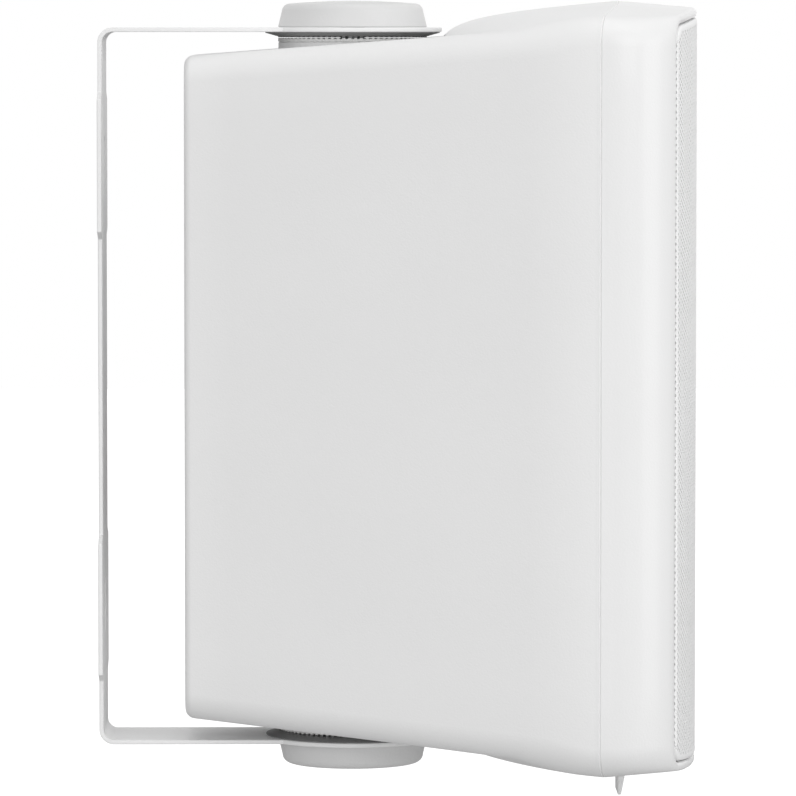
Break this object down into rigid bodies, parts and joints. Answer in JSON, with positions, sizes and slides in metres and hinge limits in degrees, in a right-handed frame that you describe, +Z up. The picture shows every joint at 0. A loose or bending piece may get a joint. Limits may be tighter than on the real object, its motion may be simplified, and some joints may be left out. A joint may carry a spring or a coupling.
{
  "type": "loudspeaker",
  "caption": "Wireless two-way loudspeaker cabinet with a perforated front grille, held between the arms of a swivelling wall bracket by hand knobs",
  "frame": {"origin": "on the wall plane, midway between the two wall slots", "axes": "+X is across the cabinet's width, +Y points into the wall, so the grille faces -Y, and +Z is up. The wall is the plane y = 0"},
  "size_m": [0.17, 0.2005, 0.2675],
  "materials": {
    "white_paint": "satin white powder coat",
    "white_plastic": "fine satin texture, white",
    "bezel_plastic": "soft gloss white",
    "knob_plastic": "satin white",
    "ring_plastic": "dark grey moulded",
    "boss_plastic": "light grey moulded",
    "grille_paint": "white powder-coated perforated sheet",
    "zinc_steel": "zinc plated",
    "black_steel": "black coated",
    "brass": "turned",
    "seal_rubber": "soft foam rubber",
    "surround_rubber": "smooth moulded",
    "cone_paper": "dark pressed pulp",
    "cap_fabric": "doped cloth",
    "spider_fabric": "corrugated cloth",
    "coil_copper": "enamelled copper wire on its former",
    "magnet_ferrite": "sintered ferrite",
    "dome_silk": "coated silk",
    "black_plastic": "fine texture, black",
    "red_plastic": "moulded red",
    "lever_black": "moulded black",
    "button_grey": "satin grey",
    "light_pipe": "clear light pipe",
    "board_green": "solder mask",
    "sink_aluminium": "extruded",
    "capacitor_sleeve": "shrink sleeve",
    "module_shield": "shield can on a blue board",
    "film_capacitor": "dipped film",
    "wadding_fibre": "polyester fleece"
  },
  "bodies": {
    "bracket": {"mounting_bracket": "white_paint", "upper_ratchet_ring": "ring_plastic", "lower_ratchet_ring": "ring_plastic"},
    "cabinet": {"upper_boss_ring": "boss_plastic", "lower_boss_ring": "boss_plastic", "upper_insert": "brass", "lower_insert": "brass", "rear_cabinet": "white_plastic", "front_bezel": "bezel_plastic", "cabinet_seal": "seal_rubber", "cabinet_screws": "black_steel", "grille": "grille_paint", "woofer_basket": "black_steel", "woofer_top_plate": "zinc_steel", "woofer_magnet": "magnet_ferrite", "woofer_pole_piece": "zinc_steel", "woofer_gasket": "seal_rubber", "woofer_screws": "black_steel", "woofer_surround": "surround_rubber", "woofer_spider": "spider_fabric", "tweeter_faceplate": "black_plastic", "tweeter_motor": "zinc_steel", "tweeter_surround": "surround_rubber", "tweeter_screws": "black_steel", "port_tube": "black_plastic", "rear_panel": "black_plastic", "panel_seal": "seal_rubber", "panel_screws": "zinc_steel", "power_socket": "black_plastic", "audio_socket": "black_plastic", "terminal_block": "black_plastic", "status_light": "light_pipe", "amplifier_board": "board_green", "heat_sink": "sink_aluminium", "power_capacitors": "capacitor_sleeve", "wireless_module": "module_shield", "board_screws": "zinc_steel", "crossover_board": "board_green", "crossover_coil": "coil_copper", "crossover_capacitors": "film_capacitor", "wadding": "wadding_fibre"},
    "upper_washer": {"upper_knob_washer": "zinc_steel"},
    "lower_washer": {"lower_knob_washer": "zinc_steel"},
    "upper_knob": {"upper_knob": "knob_plastic", "upper_knob_stud": "zinc_steel"},
    "lower_knob": {"lower_knob": "knob_plastic", "lower_knob_stud": "zinc_steel"},
    "woofer_cone": {"woofer_cone": "cone_paper", "dust_cap": "cap_fabric", "voice_coil": "coil_copper"},
    "tweeter_dome": {"tweeter_dome": "dome_silk"},
    "red_lever": {"red_lever": "red_plastic"},
    "black_lever": {"black_lever": "lever_black"},
    "pairing_button": {"pairing_button": "button_grey"}
  },
  "joints": [
    {"name": "cabinet_swivel", "type": "hinge", "parent": "bracket", "child": "cabinet", "pos_m": [0, -0.085, 0], "axis": [0, 0, 1], "range_deg": [-85, 85]},
    {"name": "upper_knob_lift", "type": "slide", "parent": "cabinet", "child": "upper_washer", "axis": [0, 0, 1], "range_m": [0, 0.00187]},
    {"name": "upper_knob_turn", "type": "hinge", "parent": "upper_washer", "child": "upper_knob", "pos_m": [0, -0.085, 0.12], "axis": [0, 0, 1], "range_deg": [0, 540]},
    {"name": "lower_knob_lift", "type": "slide", "parent": "cabinet", "child": "lower_washer", "axis": [0, 0, -1], "range_m": [0, 0.00187]},
    {"name": "lower_knob_turn", "type": "hinge", "parent": "lower_washer", "child": "lower_knob", "pos_m": [0, -0.085, -0.12], "axis": [0, 0, -1], "range_deg": [0, 540]},
    {"name": "woofer_travel", "type": "slide", "parent": "cabinet", "child": "woofer_cone", "axis": [0, -1, 0], "range_m": [-0.003, 0.003], "stiffness_N_per_m": 1500, "deforming": ["woofer_surround", "woofer_spider"]},
    {"name": "tweeter_travel", "type": "slide", "parent": "cabinet", "child": "tweeter_dome", "axis": [0, -1, 0], "range_m": [-0.0003, 0.0003], "stiffness_N_per_m": 300, "deforming": ["tweeter_surround"]},
    {"name": "red_lever_tilt", "type": "hinge", "parent": "cabinet", "child": "red_lever", "pos_m": [0.0075, -0.035, -0.039], "axis": [1, 0, 0], "range_deg": [0, 16], "stiffness_Nm_per_rad": 0.02},
    {"name": "black_lever_tilt", "type": "hinge", "parent": "cabinet", "child": "black_lever", "pos_m": [-0.0075, -0.035, -0.039], "axis": [1, 0, 0], "range_deg": [0, 16], "stiffness_Nm_per_rad": 0.02},
    {"name": "pairing_press", "type": "slide", "parent": "cabinet", "child": "pairing_button", "axis": [0, -1, 0], "range_m": [0, 0.0007], "stiffness_N_per_m": 300}
  ],
  "couplings": [
    {"joint": "upper_knob_turn", "follows": "upper_knob_lift", "rad_per_m": 5026.5},
    {"joint": "lower_knob_turn", "follows": "lower_knob_lift", "rad_per_m": 5026.5}
  ]
}
